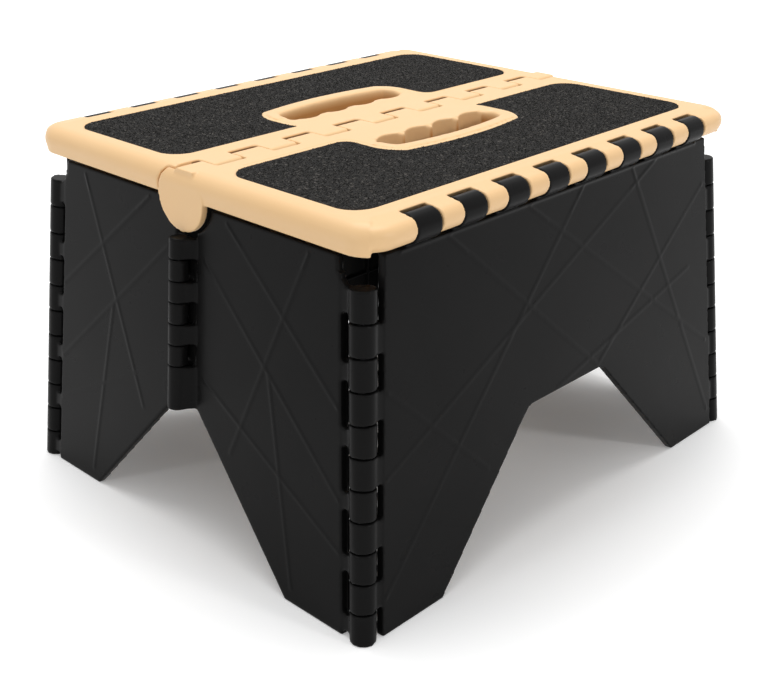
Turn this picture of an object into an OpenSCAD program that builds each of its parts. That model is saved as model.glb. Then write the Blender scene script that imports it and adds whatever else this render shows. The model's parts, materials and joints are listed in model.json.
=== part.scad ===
// Folding step stool: two ribbed side panels, four end half panels that fold
// inward, and a tread split lengthwise that folds up like a book.
// X runs along the length, the near side faces -Y, and the floor is z = 0.

/* [Overall] */
// Height of the tread above the floor
stool_h = 229; // [215:1:245]
// Length of the tread
tread_len = 333; // [310:1:350]
// Depth of the tread over its rounded long edges
tread_wid = 296; // [284:0.5:310]
// Height at which all six upright hinge lines would meet; it sets the lean
apex_h = 1845; // [1500:5:2600]

/* [Upright panels] */
// Corner hinge line, in from the tread's end at tread height
corner_in_x = 12.1; // [11.5:0.1:13]
// Corner hinge line, in from the tread's long edge at tread height
corner_in_y = 17.1; // [16.3:0.1:17.8]
// Outer face of a side panel, out from the plane of its hinge lines
side_out = 6.4; // [6.2:0.1:6.8]
// Upper edge of the side panels' skin, down from the top of the tread
side_drop = 17.2; // [17:0.1:18]
// Outer face of an end panel, out from the plane of its hinge lines
end_out = 5.4; // [5.2:0.1:5.8]
// Thickness of a panel's skin
skin_t = 2.4; // [2:0.1:2.6]
// Depth of a side panel, skin and ribs together
side_t = 5.2; // [4.8:0.1:5.4]
// Depth of an end panel, skin and ribs together
end_t = 4.6; // [4.2:0.1:4.8]
// Thickness of a rib
rib_t = 2; // [1.5:0.1:2.6]
// Height of the raised lines on the outer faces
line_rise = 0.4; // [0.3:0.1:0.8]
// Width of the raised lines
line_w = 1; // [0.8:0.1:1.6]
// Height of the side panels' arch
side_arch_h = 89.5; // [70:0.5:100]
// Half width of the side arch along its top
side_arch_top = 36.7; // [28:0.1:42]
// Half width of the side arch at the floor
side_arch_foot = 118.5; // [105:0.5:122]
// Radius of the side arch's upper corners
side_arch_r = 12; // [6:1:20]
// Height of the end arch
end_arch_h = 88.4; // [70:0.4:100]
// Half width of the end arch along its top
end_arch_top = 10.1; // [9.9:0.1:14]
// Half width of the end arch at the floor
end_arch_foot = 91.2; // [80:0.4:96]

/* [Upright hinges] */
// Radius of the corner hinge barrels
corner_r = 7.35; // [7:0.05:7.6]
// Top of the corner hinges, down from the top of the tread
corner_drop = 34; // [31:1:49]
// Knuckles in each corner hinge, an odd number
corner_n = 11; // [9:2:13]
// Clear gap from the corner hinge line to a side panel's skin edge
side_edge = 8.9; // [8.5:0.1:10]
// Lap of a side panel's skin over the hinges at its right hand edge
side_lap = 2.3; // [1.8:0.1:2.4]
// Clear gap from the corner hinge line to an end panel's skin edge
end_edge = 11; // [10.6:0.1:12]
// Radius of the round reliefs in the necks of an end panel's webs
neck_r = 3.2; // [2.4:0.1:3.6]
// Middle hinge line of an end, out from the end face at tread height
mid_out = 5; // [4.6:0.1:5.4]
// Radius of the middle hinge barrels
mid_r = 5.8; // [5.4:0.1:6]
// Top of the middle hinges, down from the top of the tread
mid_drop = 37.5; // [37:0.5:49]
// Height of each middle hinge knuckle above the long lowest one
mid_pitch = 12.7; // [11.5:0.1:13]
// Half gap between the skins of two end panels
mid_edge = 9.3; // [8.8:0.1:9.7]

/* [Tread] */
// Radius of the upper rounding of the tread's short ends
nose_r = 9; // [8.6:0.1:9]
// Inward lean of the short ends below that rounding
end_draft = 1.2; // [0.8:0.1:1.6]
// Upper radius of the tread's long edges
edge_r = 6.1; // [6:0.1:6.4]
// Outermost line of the long edges, down from the top of the tread
edge_drop = 7.4; // [7:0.1:7.6]
// Underside of the long edges, down from the top of the tread
edge_depth = 15.5; // [15.2:0.1:15.8]
// Slope of the strip along a long edge, in degrees
edge_tilt = 8; // [7.5:0.5:10]
// Radius of the tread's outer corners seen from above
plan_r = 19; // [18.5:0.5:24]
// Depth of the tread's short ends
rim_depth = 16.5; // [16.2:0.1:17]
// Thickness of the tread's plate
plate_t = 3.2; // [2.8:0.1:4]
// Thickness of the tread's walls and ribs
wall_t = 2.6; // [2:0.1:3]
// Outer tread hinge lines, down from the top of the tread
outer_drop = 9; // [9:0.1:9.4]
// Outer tread hinge lines, in from the tread's long edges
outer_in = 8.6; // [8.5:0.1:8.8]
// Radius of the side panels' upper knuckles
knuckle_r = 8.2; // [7.1:0.1:8.3]
// Gap between a knuckle and the back of its notch in the tread
notch_gap = 1.2; // [1.1:0.1:1.4]
// Knuckles along each long edge
knuckle_n = 8; // [6:1:9]
// Outermost knuckles, in from the tread's ends
knuckle_in = 33.5; // [30:0.5:38]
// Width of a knuckle
knuckle_w = 18.8; // [16:0.1:19.5]
// Middle tread hinge line, down from the top of the tread
inner_drop = 16; // [15.8:0.1:16]
// Radius of the middle hinge hooks
hook_r = 6; // [5.5:0.1:6.2]
// Interlocking fingers on each side of the middle seam
finger_n = 8; // [7:1:9]
// Reach of the fingers across the middle line
finger_y = 6.2; // [6:0.1:6.6]
// Slot in front of a finger tip
finger_slot = 2.6; // [1.6:0.1:3]
// Radius of the rounded finger tips
tip_r = 2.8; // [1.5:0.1:3]
// Radius of the half round tongue that covers the middle hinge
tongue_r = 19.6; // [18:0.1:20]
// Thickness of that tongue
tongue_t = 4.4; // [3.5:0.1:4.6]
// Gap round that tongue
tongue_gap = 1.2; // [1.1:0.1:1.6]

/* [Handles] */
// Half length of a handle hole
hand_x = 49; // [45:0.5:51]
// Outer edge of a handle hole from the middle line
hand_y = 56.5; // [54:0.5:58]
// Radius of the bulging outer edges of the hole and of its bead
bulge_r = 240; // [180:5:400]
// Finger grip side of a handle hole from the middle line
hand_in = 31; // [30:0.5:32]
// Depth of the finger grip scallops
scallop_d = 6.5; // [4:0.5:7]
// Half length of the bead round a handle hole
bead_x = 60; // [57:0.5:62]
// Outer edge of the bead from the middle line
bead_y = 68.5; // [64:0.5:70]
// Rise of the bead above the tread
bead_rise = 0.8; // [0.4:0.1:1.2]
// Width of the lip left between the groove and the recess
lip_w = 1.8; // [1.4:0.1:2.4]
// Width of the groove behind that lip
lip_groove = 1.2; // [0.8:0.1:1.6]
// Depth of that groove
lip_d = 0.6; // [0.3:0.1:0.8]

/* [Grit sheets] */
// Ends of a grit sheet's recess, in from the tread's ends
grit_end = 14.5; // [9.5:0.5:18]
// Inner edge of the recess from the middle line
grit_in = 22; // [19:0.5:23]
// Outer edge of the recess, in from the tread's long edge
grit_edge = 25; // [23:0.5:30]
// Corner radius of the recess
grit_r = 15; // [8:1:18]
// Radius that joins the recess to the bead at one end
grit_fillet = 8; // [3:1:12]
// Depth of the recess
grit_d = 1.2; // [1:0.1:1.5]
// Thickness of a grit sheet
grit_t = 1; // [0.8:0.1:1]

/* [Pins] */
// Radius of the corner and tread hinge pins
pin_r = 2; // [1.8:0.1:2.2]
// Radius of the pins in the middle hinges of the ends
mid_pin_r = 1.8; // [1.5:0.1:2]
// Running clearance round a pin
pin_gap = 0.05; // [0.03:0.01:0.1]
// Room round the middle tread pin in the far panel's hooks
loose_gap = 2; // [1.9:0.1:2.3]
// Room round the right middle pin in the far half panel
mid_room = 0.25; // [0.2:0.05:0.4]
// Width of the snap-in slots under the tread's pin bores
mouth_w = 3.4; // [3:0.1:3.6]

/* [Hidden] */
$fn = 64;

black = [0.14, 0.14, 0.15];
beige = [0.96, 0.85, 0.70];
grit = [0.20, 0.19, 0.18];
steel = [0.72, 0.72, 0.74];

face_gap = 0.4;
turn_gap = 0.6;
end_clear = 2;
web_trim = 1.2;
web_inset = 0.2;
span = 900;
floor_cut = 20;
end_top_gap = 3.5;
cut_room = 20;
rib_out = 23;
end_wall = 4;
pocket_x = 20;
pocket_y = 16;

// Levels that follow the top of the tread
rim_bottom = stool_h - rim_depth;
edge_z = stool_h - edge_drop;
edge_bottom = stool_h - edge_depth;
outer_z = stool_h - outer_drop;
inner_z = stool_h - inner_drop;
corner_top = stool_h - corner_drop;
mid_top = stool_h - mid_drop;

// Places that follow the ends and the long edges of the tread
grit_x = tread_len / 2 - grit_end;
grit_out = tread_wid / 2 - grit_edge;
row_half = tread_len / 2 - knuckle_in;
knuckle_pitch = (2 * row_half - knuckle_w) / (knuckle_n - 1);
finger_pitch = (tread_len - 0.2) / (2 * finger_n);
finger_root = finger_y + finger_slot + 1;

// Hinge lines at floor level, spread from tread level by the common apex
spread = apex_h / (apex_h - stool_h);
corner_x = (tread_len / 2 - corner_in_x) * spread;
corner_y = (tread_wid / 2 - corner_in_y) * spread;
mid_x = (tread_len / 2 - corner_in_x + end_out + mid_out) * spread;

// Lean of the side and end planes, and of the hinge lines within them
side_lean = atan(corner_y / apex_h);
end_lean = atan(corner_x / apex_h);
side_run = norm([corner_y, apex_h]);
end_run = norm([corner_x, apex_h]);
side_line = atan(corner_x / side_run);
end_line = atan(corner_y / end_run);
mid_lean = atan(mid_x / apex_h);

// Distances along the hinge lines, measured up from the floor
corner_len = norm([corner_x, corner_y, apex_h]) / apex_h;
corner_pitch = corner_top * corner_len / corner_n;
mid_len = norm([mid_x, apex_h]) / apex_h;
mid_low = (mid_top - 6 * mid_pitch) * mid_len;
mid_foot = end_arch_h * mid_len;

// Outer tread hinge line and the clear radius round it
outer_y = tread_wid / 2 - outer_in;
nose_clear = outer_in + 0.4 + turn_gap;
notch_r = knuckle_r + notch_gap;

// Where the sloping strip of a long edge leaves its rounding and ends
strip_x = edge_r - edge_r * sin(edge_tilt);
strip_z = edge_z + edge_r * cos(edge_tilt);
strip_end = strip_x + (stool_h - strip_z) / tan(edge_tilt);

knuckle_gap = 0.4;

// Upper edge of the upright panels before the hinge clearance is cut
side_top = (stool_h - side_drop) / cos(side_lean);
end_top = (rim_bottom - end_top_gap) / cos(end_lean);

// Step in an end panel's skin edge above the corner hinge
step_z = corner_top + 6;
step_w = 1.8;

// Plates that back the gaps beside the hinge barrels
back_t = 1.6;
back_gap = 0.7;
corner_back = 0.6;

// Reach of the long tread pins into the rim
tread_pin_half = row_half + 12;
mid_pin_half = tread_len / 2 - tongue_t - 2;

// Frames of a side panel and of an end panel, z along the panel's slope
module in_side() {
    translate([0, -corner_y, 0]) rotate([-side_lean, 0, 0]) children();
}

module in_end() {
    translate([-corner_x, 0, 0]) rotate([0, end_lean, 0]) children();
}

// Frame of a corner hinge line within each panel, z along the line
module side_corner() {
    translate([-corner_x, 0, 0]) rotate([0, side_line, 0]) children();
}

module end_corner() {
    translate([0, -corner_y, 0]) rotate([-end_line, 0, 0]) children();
}

// Frame of an end's middle hinge line
module end_middle() {
    translate([-mid_x, 0, 0]) rotate([0, mid_lean, 0]) children();
}

// A flat outline stood up in a side panel's plane, from depth y0 to y1
module side_plate(y0, y1) {
    translate([0, y1, 0]) rotate([90, 0, 0])
        linear_extrude(height = y1 - y0) children();
}

// The same in an end panel's plane, from depth x0 to x1
module end_plate(x0, x1) {
    translate([x0, 0, 0]) rotate([90, 0, 90])
        linear_extrude(height = x1 - x0) children();
}

// A bar between two points of an outline
module stroke(a, b, w) {
    d = b - a;
    translate(a) rotate(atan2(d[1], d[0]))
        translate([0, -w / 2]) square([norm(d), w]);
}

// A rectangle with round corners, from corner a to corner b
module round_rect(a, b, r) {
    translate([a[0] + r, a[1]]) square([b[0] - a[0] - 2 * r, b[1] - a[1]]);
    translate([a[0], a[1] + r]) square([b[0] - a[0], b[1] - a[1] - 2 * r]);
    for (x = [a[0] + r, b[0] - r], y = [a[1] + r, b[1] - r])
        translate([x, y]) circle(r);
}

module above_floor() {
    difference() {
        children();
        translate([-span / 2, -span / 2, -span]) cube([span, span, span]);
    }
}

// Side arch grown by i, with round upper corners
module side_arch(i) {
    slope = atan(side_arch_h / (side_arch_foot - side_arch_top));
    top = side_arch_h + i;
    half = side_arch_top + i * tan(slope / 2);
    r = side_arch_r + i;
    t = r / tan(90 - slope / 2);
    low = -floor_cut;
    foot = side_arch_foot + i / sin(slope) - low / tan(slope);
    p = half + t * cos(slope);
    q = top - t * sin(slope);
    polygon([
        [-foot, low], [foot, low], [p, q], [half - t, top],
        [t - half, top], [-p, q]
    ]);
    for (s = [-1, 1]) translate([s * (half - t), top - r]) circle(r);
}

// Side panel outline inset by i; both edges run towards the apex
module side_shape(i, lap = 0) {
    low = corner_x - side_edge - i + floor_cut * tan(side_line);
    high = corner_x - side_edge - i - side_top * tan(side_line);
    difference() {
        polygon([
            [-low, -floor_cut], [low + lap, -floor_cut],
            [high + lap, side_top - i], [-high, side_top - i]
        ]);
        side_arch(i);
    }
}

// Crossing raised lines on a side panel's outer face
module side_lines() {
    w = corner_x - side_edge;
    h = side_top;
    stroke([-0.98 * w, 0.10 * h], [0.10 * w, 0.98 * h], line_w);
    stroke([-0.95 * w, 0.42 * h], [0.55 * w, 0.98 * h], line_w);
    stroke([-0.60 * w, 0.98 * h], [0.22 * w, 0.41 * h], line_w);
    stroke([-0.20 * w, 0.98 * h], [0.98 * w, 0.30 * h], line_w);
    stroke([-0.92 * w, 0.66 * h], [-0.45 * w, 0.30 * h], line_w);
    stroke([0.98 * w, 0.06 * h], [0.40 * w, 0.98 * h], line_w);
    stroke([0.20 * w, 0.44 * h], [0.90 * w, 0.86 * h], line_w);
    stroke([-0.10 * w, 0.42 * h], [0.80 * w, 0.60 * h], line_w);
}

module side_ribs() {
    w = corner_x - side_edge;
    h = side_top;
    for (s = [-1, 1]) {
        stroke([s * 0.50 * w, 0], [s * 0.44 * w, h], rib_t);
        stroke([s * 0.78 * w, 0], [s * 0.69 * w, h], rib_t);
    }
    stroke([-w, 0.72 * h], [w, 0.72 * h], rib_t);
    stroke([-w, -5], [w, -5], 2 * (5 + rib_t));
    for (s = [-1, 1]) {
        stroke([s * w, 0.48 * h], [s * 0.30 * w, 0.48 * h], rib_t);
        stroke([s * w, 0.22 * h], [s * 0.50 * w, 0.22 * h], rib_t);
    }
}

// Barrel of corner knuckle k and its web to the panel's skin
module corner_knuckle(k) {
    z0 = k == 0 ? -10 : k * corner_pitch + face_gap;
    translate([0, 0, z0])
        cylinder(r = corner_r, h = (k + 1) * corner_pitch - face_gap - z0);
}

module side_knuckles() {
    for (k = [1:2:corner_n - 1]) {
        corner_knuckle(k);
        translate([0, web_inset - side_out, k * corner_pitch + web_trim])
            cube([side_edge + rib_t / 2, side_t - 2 * web_inset, corner_pitch - 2 * web_trim]);
    }
}

// The knuckles along the upper edge stand on webs from the panel's skin
module upper_knuckles() {
    for (k = [0:knuckle_n - 1]) {
        x = (k - (knuckle_n - 1) / 2) * knuckle_pitch - knuckle_w / 2;
        translate([x, -outer_y, outer_z]) rotate([0, 90, 0])
            cylinder(r = knuckle_r, h = knuckle_w);
        in_side() translate([x + face_gap, web_inset - side_out, side_top - 12])
            cube([knuckle_w - 2 * face_gap, side_t - 1, 11 + outer_z - side_top]);
    }
}

module side_panel() {
    color(black) above_floor() difference() {
        union() {
            difference() {
                in_side() {
                    side_plate(-side_out, skin_t - side_out) side_shape(0, side_lap);
                    side_plate(-side_out, side_t - side_out) difference() {
                        side_shape(0);
                        side_shape(rib_t);
                    }
                    side_plate(-side_out, side_t - side_out) intersection() {
                        side_shape(0);
                        side_ribs();
                    }
                    side_plate(-side_out - line_rise, skin_t / 2 - side_out) intersection() {
                        side_shape(rib_t);
                        side_lines();
                    }
                    translate([-row_half - 4, -side_out - 1.2, side_top - 3.2])
                        cube([2 * row_half + 8, 1.4, 1.8]);
                }
                translate([-span / 2, -outer_y, outer_z]) rotate([0, 90, 0])
                    cylinder(r = nose_clear, h = span);
            }
            upper_knuckles();
            in_side() {
                side_corner() side_knuckles();
                mirror([1, 0, 0]) side_corner() side_knuckles();
            }
        }
        translate([-span / 2, -outer_y, outer_z]) rotate([0, 90, 0])
            cylinder(r = pin_r + pin_gap, h = span);
        in_side() {
            side_corner() cylinder(r = pin_r + pin_gap, h = span / 2);
            mirror([1, 0, 0]) side_corner() cylinder(r = pin_r + pin_gap, h = span / 2);
        }
    }
}

// End half panel outline inset by i; near half, y below zero
module end_shape(i) {
    slope = atan(end_arch_h / (end_arch_foot - end_arch_top));
    low = -floor_cut;
    outer_low = corner_y - end_edge - i - low * tan(end_line);
    outer_high = corner_y - end_edge - i - end_top * tan(end_line);
    outer_step = corner_y - end_edge - i - step_z * tan(end_line);
    foot = end_arch_foot + i / sin(slope) - low / tan(slope);
    difference() {
        polygon([
            [-outer_low, low], [-outer_step, step_z], [step_w - outer_step, step_z],
            [step_w - outer_high, end_top - i], [-mid_edge - i, end_top - i],
            [-mid_edge - i, end_arch_h + i], [-end_arch_top - i * tan(slope / 2), end_arch_h + i],
            [-foot, low]
        ]);
        translate([0, inner_z / cos(end_lean)]) circle(tongue_r + end_clear + i);
    }
}

module end_lines() {
    w = corner_y - end_edge;
    h = end_top;
    stroke([-0.12 * w, 0.52 * h], [-0.98 * w, 0.22 * h], line_w);
    stroke([-0.12 * w, 0.86 * h], [-0.96 * w, 0.36 * h], line_w);
    stroke([-0.30 * w, 0.34 * h], [-0.72 * w, 0.98 * h], line_w);
    stroke([-0.94 * w, 0.60 * h], [-0.25 * w, 0.98 * h], line_w);
    stroke([-0.70 * w, 0.04 * h], [-0.52 * w, 0.62 * h], line_w);
}

module end_ribs() {
    w = corner_y - end_edge;
    h = end_top;
    stroke([-0.50 * w, 0], [-0.42 * w, h], rib_t);
    stroke([-0.80 * w, 0], [-0.72 * w, h], rib_t);
    stroke([-w, 0.74 * h], [0, 0.74 * h], rib_t);
    stroke([-w, -5], [0, -5], 2 * (5 + rib_t));
    stroke([-w, 0.50 * h], [0, 0.50 * h], rib_t);
    stroke([-w, 0.24 * h], [-0.5 * w, 0.24 * h], rib_t);
}

// Web of corner knuckle k with a round relief at each end of its neck
module end_web(k) {
    low = k * corner_pitch + web_trim;
    high = (k + 1) * corner_pitch - web_trim;
    difference() {
        translate([0, low]) square([end_edge + rib_t / 2, high - low]);
        for (z = k == corner_n - 1 ? [low] : [low, high])
            translate([end_edge - neck_r + 0.3, z]) circle(neck_r);
    }
}

module end_knuckles() {
    top = corner_n * corner_pitch;
    for (k = [0:2:corner_n - 1]) corner_knuckle(k);
    end_plate(web_inset - end_out, end_t - web_inset - end_out) {
        for (k = [0:2:corner_n - 1]) end_web(k);
        polygon([
            [4, top - 8], [corner_r - 0.8, top - 0.6], [corner_r - 0.3, top - 0.6],
            [end_edge + step_w + 0.4, top + 6], [end_edge + step_w + 0.4, top - 8]
        ]);
    }
    translate([skin_t / 2 - end_out, end_edge + 0.3, 3])
        cube([end_out + corner_back - skin_t / 2, 1.5, top - 8]);
}

// Height where middle knuckle k begins; knuckle 0 is the long lowest one
function mid_start(k) = k == 0 ? mid_foot : mid_low + (k - 1) * mid_pitch * mid_len;

// Barrel of middle knuckle k and the sloping web down to the near skin
module mid_knuckle(k) {
    z0 = mid_start(k) + (k == 0 ? 0 : face_gap / 2);
    h = mid_start(k + 1) - face_gap / 2 - z0;
    reach = mid_edge + rib_t / 2;
    translate([0, 0, z0]) cylinder(r = mid_r, h = h);
    translate([0, 0, z0 + face_gap]) linear_extrude(height = h - 2 * face_gap) polygon([
        [-0.72 * mid_r, -0.69 * mid_r], [mid_out + 0.5, -mid_edge - 0.4],
        [mid_out + 0.5, -reach], [mid_out + skin_t - 0.4, -reach],
        [mid_out + skin_t - 0.4, -mid_edge + 1], [0.9 * mid_r, 0], [0, 0]
    ]);
}

// Plate behind the other half's middle knuckle k
module mid_back(k) {
    reach = mid_edge + rib_t / 2;
    z0 = mid_start(k) + turn_gap;
    translate([mid_r + back_gap, -reach, z0])
        cube([back_t, reach - 0.3, mid_start(k + 1) - turn_gap - z0]);
}

// Near half of an end; first is the lowest middle knuckle that it carries
module end_half(first, room) {
    color(black) above_floor() difference() {
        union() {
            in_end() {
                end_plate(-end_out, skin_t - end_out) end_shape(0);
                end_plate(-end_out, end_t - end_out) difference() {
                    end_shape(0);
                    end_shape(rib_t);
                }
                end_plate(-end_out, end_t - end_out) intersection() {
                    end_shape(0);
                    end_ribs();
                }
                end_plate(-end_out - line_rise, skin_t / 2 - end_out) intersection() {
                    end_shape(rib_t);
                    end_lines();
                }
                end_corner() end_knuckles();
            }
            end_middle() {
                for (k = [first:2:6]) mid_knuckle(k);
                for (k = [1 - first:2:6]) mid_back(k);
            }
        }
        in_end() end_corner() cylinder(r = pin_r + pin_gap, h = (corner_top - 3) * corner_len);
        end_middle() cylinder(r = mid_pin_r + room, h = (mid_top - 2.5) * mid_len);
    }
}

module corner_pin() {
    color(steel) in_end() end_corner() translate([0, 0, 1.5])
        cylinder(r = pin_r, h = (corner_top - 3.5) * corner_len - 1.5);
}

module end_pin() {
    color(steel) end_middle() translate([0, 0, mid_foot + 1])
        cylinder(r = mid_pin_r, h = (mid_top - 3) * mid_len - mid_foot - 1);
}

// Section of the tread's short ends, its outermost point at x = 0
module end_section() {
    intersection() {
        union() {
            translate([nose_r, stool_h - nose_r]) circle(nose_r);
            polygon([
                [0, stool_h - nose_r], [end_draft, rim_bottom], [plan_r, rim_bottom],
                [plan_r, stool_h], [nose_r, stool_h], [nose_r, stool_h - nose_r]
            ]);
        }
        translate([0, rim_bottom]) square([plan_r, 2 * nose_r]);
    }
}

// Section of the tread's long edges, its outermost point at x = 0
module edge_section() {
    low_r = edge_z - edge_bottom;
    translate([edge_r, edge_z]) circle(edge_r);
    intersection() {
        translate([low_r, edge_z]) circle(low_r);
        translate([0, edge_bottom]) square([low_r, low_r]);
    }
    polygon([
        [low_r - 1, edge_z], [low_r, edge_bottom], [plan_r, edge_bottom],
        [plan_r, stool_h], [strip_end, stool_h], [strip_x, strip_z]
    ]);
}

// A section turned round to be swept about a corner's axis, and kept off its far side
module from_axis() {
    intersection() {
        translate([plan_r, 0]) mirror([1, 0]) children();
        translate([0, rim_bottom - 1]) square([plan_r + 1, stool_h - rim_bottom + 2]);
    }
}

// Solid tread half before it is hollowed; y runs from the edge to y = inner
module tread_block(inner) {
    tx = tread_len / 2;
    ty = tread_wid / 2;
    translate([plan_r - tx, -ty, 0]) rotate([90, 0, 90])
        linear_extrude(height = tread_len - 2 * plan_r) edge_section();
    for (s = [0, 1]) mirror([s, 0, 0]) {
        translate([-tx, inner, 0]) rotate([90, 0, 0])
            linear_extrude(height = ty - plan_r + inner) end_section();
        translate([plan_r - tx, plan_r - ty, 0]) {
            rotate([0, 0, 180]) rotate_extrude(angle = 45) from_axis() end_section();
            rotate([0, 0, 225]) rotate_extrude(angle = 45) from_axis() edge_section();
        }
    }
    translate([plan_r - tx, plan_r - ty, rim_bottom])
        cube([tread_len - 2 * plan_r, ty - plan_r + inner, stool_h - rim_bottom]);
}

// Grit recess outline, grown by i, with the bead left standing
module grit_shape(i) {
    difference() {
        round_rect([-grit_x - i, -grit_out - i], [grit_x + i, -grit_in + i], grit_r);
        bead_shape(-i);
        translate([-bead_x - grit_fillet, -grit_in - grit_fillet]) difference() {
            square([grit_fillet + i + 5, grit_fillet + i + 1]);
            circle(grit_fillet + i);
        }
    }
}

// Groove behind the lip, along the recess's inner edge and round the bead
module lip_shape() {
    intersection() {
        difference() {
            grit_shape(lip_w + lip_groove);
            grit_shape(lip_w);
        }
        union() {
            translate([-grit_x + grit_r, -grit_in - grit_fillet])
                square([grit_x - grit_r, grit_fillet + lip_w + lip_groove]);
            translate([-bead_x - grit_fillet, -bead_y])
                square([2 * bead_x + grit_fillet, bead_y - grit_in - grit_fillet]);
        }
    }
}

module bead_shape(i) {
    r = bead_y - (hand_y + hand_in) / 2;
    intersection() {
        round_rect([-bead_x - i, -bead_y - i], [bead_x + i, grit_r - grit_in], r + i);
        translate([0, bulge_r - bead_y]) circle(bulge_r + i);
    }
}

// Handle hole with four scallops on its finger side
module hand_shape(i) {
    pitch = hand_x / 2;
    r = (pitch * pitch / 4 + scallop_d * scallop_d) / (2 * scallop_d);
    low = -hand_in - scallop_d;
    corner = 12;
    intersection() {
        round_rect([-hand_x - i, -hand_y - i], [hand_x + i, -hand_in + 1.5 * corner + i], corner + i);
        translate([0, bulge_r - hand_y]) circle(bulge_r + i);
        union() {
            translate([-span / 2, -span]) square([span, span + low + i]);
            for (k = [-1.5:1:1.5]) translate([k * pitch, -hand_in - r]) circle(r + i);
        }
    }
}

// Underside pockets between the ribs of a tread half
module tread_pockets() {
    top = stool_h - plate_t - grit_d;
    low = -tread_wid / 2 + plan_r + 1;
    last = tread_len / 2 - end_wall;
    second = hand_x + rib_out;
    third = (second + last) / 2;
    first = 0.65 * hand_x;
    xs = [-last, -third, -second, -first, first, second, third, last];
    translate([0, 0, rim_bottom - cut_room]) linear_extrude(height = top - rim_bottom + cut_room)
        difference() {
            union() {
                for (k = [0:6]) {
                    translate([xs[k] + wall_t / 2, low])
                        square([xs[k + 1] - xs[k] - wall_t, -hand_y - wall_t - 12 - low]);
                    translate([xs[k] + wall_t / 2, -hand_y - wall_t - 12 + wall_t])
                        square([xs[k + 1] - xs[k] - wall_t, hand_y - finger_y + 2]);
                }
                for (x = [-last, last - pocket_x])
                    translate([x, low - 1 - end_wall]) square([pocket_x, pocket_y]);
            }
            hand_shape(wall_t);
        }
}

// Block, hook and rounded tip of one finger from x0 to x1
module finger(x0, x1) {
    translate([x0, 0, 0]) rotate([90, 0, 90]) linear_extrude(height = x1 - x0) {
        translate([0, inner_z]) circle(hook_r);
        translate([-finger_root, inner_z])
            square([finger_y + finger_root, stool_h - inner_z - tip_r]);
        translate([-finger_root, inner_z])
            square([finger_y + finger_root - tip_r, stool_h - inner_z]);
        translate([finger_y - tip_r, stool_h - tip_r]) circle(tip_r);
    }
}

module tread_fingers() {
    for (k = [0:finger_n - 1]) {
        n = 2 * k - finger_n;
        x0 = k == 0 ? tongue_t / 2 - tread_len / 2 : n * finger_pitch + face_gap / 2;
        finger(x0, (n + 1) * finger_pitch - face_gap / 2);
    }
}

// A disc on the middle hinge line, flush with the rim's end
module tongue() {
    intersection() {
        translate([-tread_len / 2, 0, inner_z]) rotate([0, 90, 0])
            cylinder(r = tongue_r, h = tongue_t);
        union() {
            tread_block(tongue_r);
            translate([-tread_len / 2, -tongue_r, 0]) cube([tongue_t, 2 * tongue_r, outer_z]);
        }
    }
}

// Room for the other half's knuckles, fingers and tongue
module tread_cuts() {
    for (k = [0:knuckle_n - 1]) {
        x = (k - (knuckle_n - 1) / 2) * knuckle_pitch - knuckle_w / 2 - knuckle_gap;
        translate([x, -outer_y, outer_z]) rotate([0, 90, 0])
            cylinder(r = notch_r, h = knuckle_w + 2 * knuckle_gap);
        translate([x, -outer_y - cut_room, outer_z - cut_room])
            cube([knuckle_w + 2 * knuckle_gap, cut_room + notch_r, cut_room]);
        translate([x, -outer_y - cut_room, outer_z - 1])
            cube([knuckle_w + 2 * knuckle_gap, cut_room, cut_room]);
    }
    translate([tread_len / 2 - tongue_t - turn_gap, 0, inner_z]) rotate([0, 90, 0])
        cylinder(r = tongue_r + tongue_gap, h = cut_room);
}

module tread_half(room) {
    color(beige) difference() {
        union() {
            difference() {
                tread_block(-finger_y - finger_slot);
                tread_pockets();
            }
            tread_fingers();
            tongue();
            translate([0, 0, rim_bottom]) linear_extrude(height = stool_h - rim_bottom)
                difference() {
                    hand_shape(wall_t);
                    hand_shape(0);
                }
            translate([0, 0, stool_h - grit_d - plate_t])
                linear_extrude(height = grit_d + plate_t + bead_rise) intersection() {
                    bead_shape(-lip_w - lip_groove);
                    translate([-span / 2, -span]) square([span, span - hand_in - scallop_d - 4]);
                }
        }
        tread_cuts();
        translate([0, 0, rim_bottom - 1])
            linear_extrude(height = rim_depth + bead_rise + 2) hand_shape(0);
        translate([0, 0, stool_h - grit_d]) linear_extrude(height = 10) grit_shape(0);
        translate([0, 0, stool_h - lip_d]) linear_extrude(height = 10) lip_shape();
        translate([-tread_pin_half - 1, -outer_y, outer_z]) rotate([0, 90, 0])
            cylinder(r = pin_r + pin_gap, h = 2 * tread_pin_half + 2);
        translate([-mid_pin_half - 0.5, 0, inner_z]) rotate([0, 90, 0])
            cylinder(r = pin_r + room, h = span);
        translate([-tread_pin_half - 1, -outer_y - mouth_w / 2, rim_bottom - 1])
            cube([2 * tread_pin_half + 2, mouth_w, outer_z - rim_bottom + 1]);
        translate([-mid_pin_half - 0.5, -mouth_w / 2, inner_z - 2 * hook_r])
            cube([span, mouth_w, 2 * hook_r]);
    }
}

module grit_sheet() {
    color(grit) translate([0, 0, stool_h - grit_d])
        linear_extrude(height = grit_t) grit_shape(-0.3);
}

module tread_pin() {
    color(steel) translate([-tread_pin_half, -outer_y, outer_z]) rotate([0, 90, 0])
        cylinder(r = pin_r, h = 2 * tread_pin_half);
}

module mid_tread_pin() {
    color(steel) translate([-mid_pin_half, 0, inner_z]) rotate([0, 90, 0])
        cylinder(r = pin_r, h = 2 * mid_pin_half);
}

module flip() {
    mirror([0, 1, 0]) children();
}

module turn() {
    rotate([0, 0, 180]) children();
}

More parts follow.
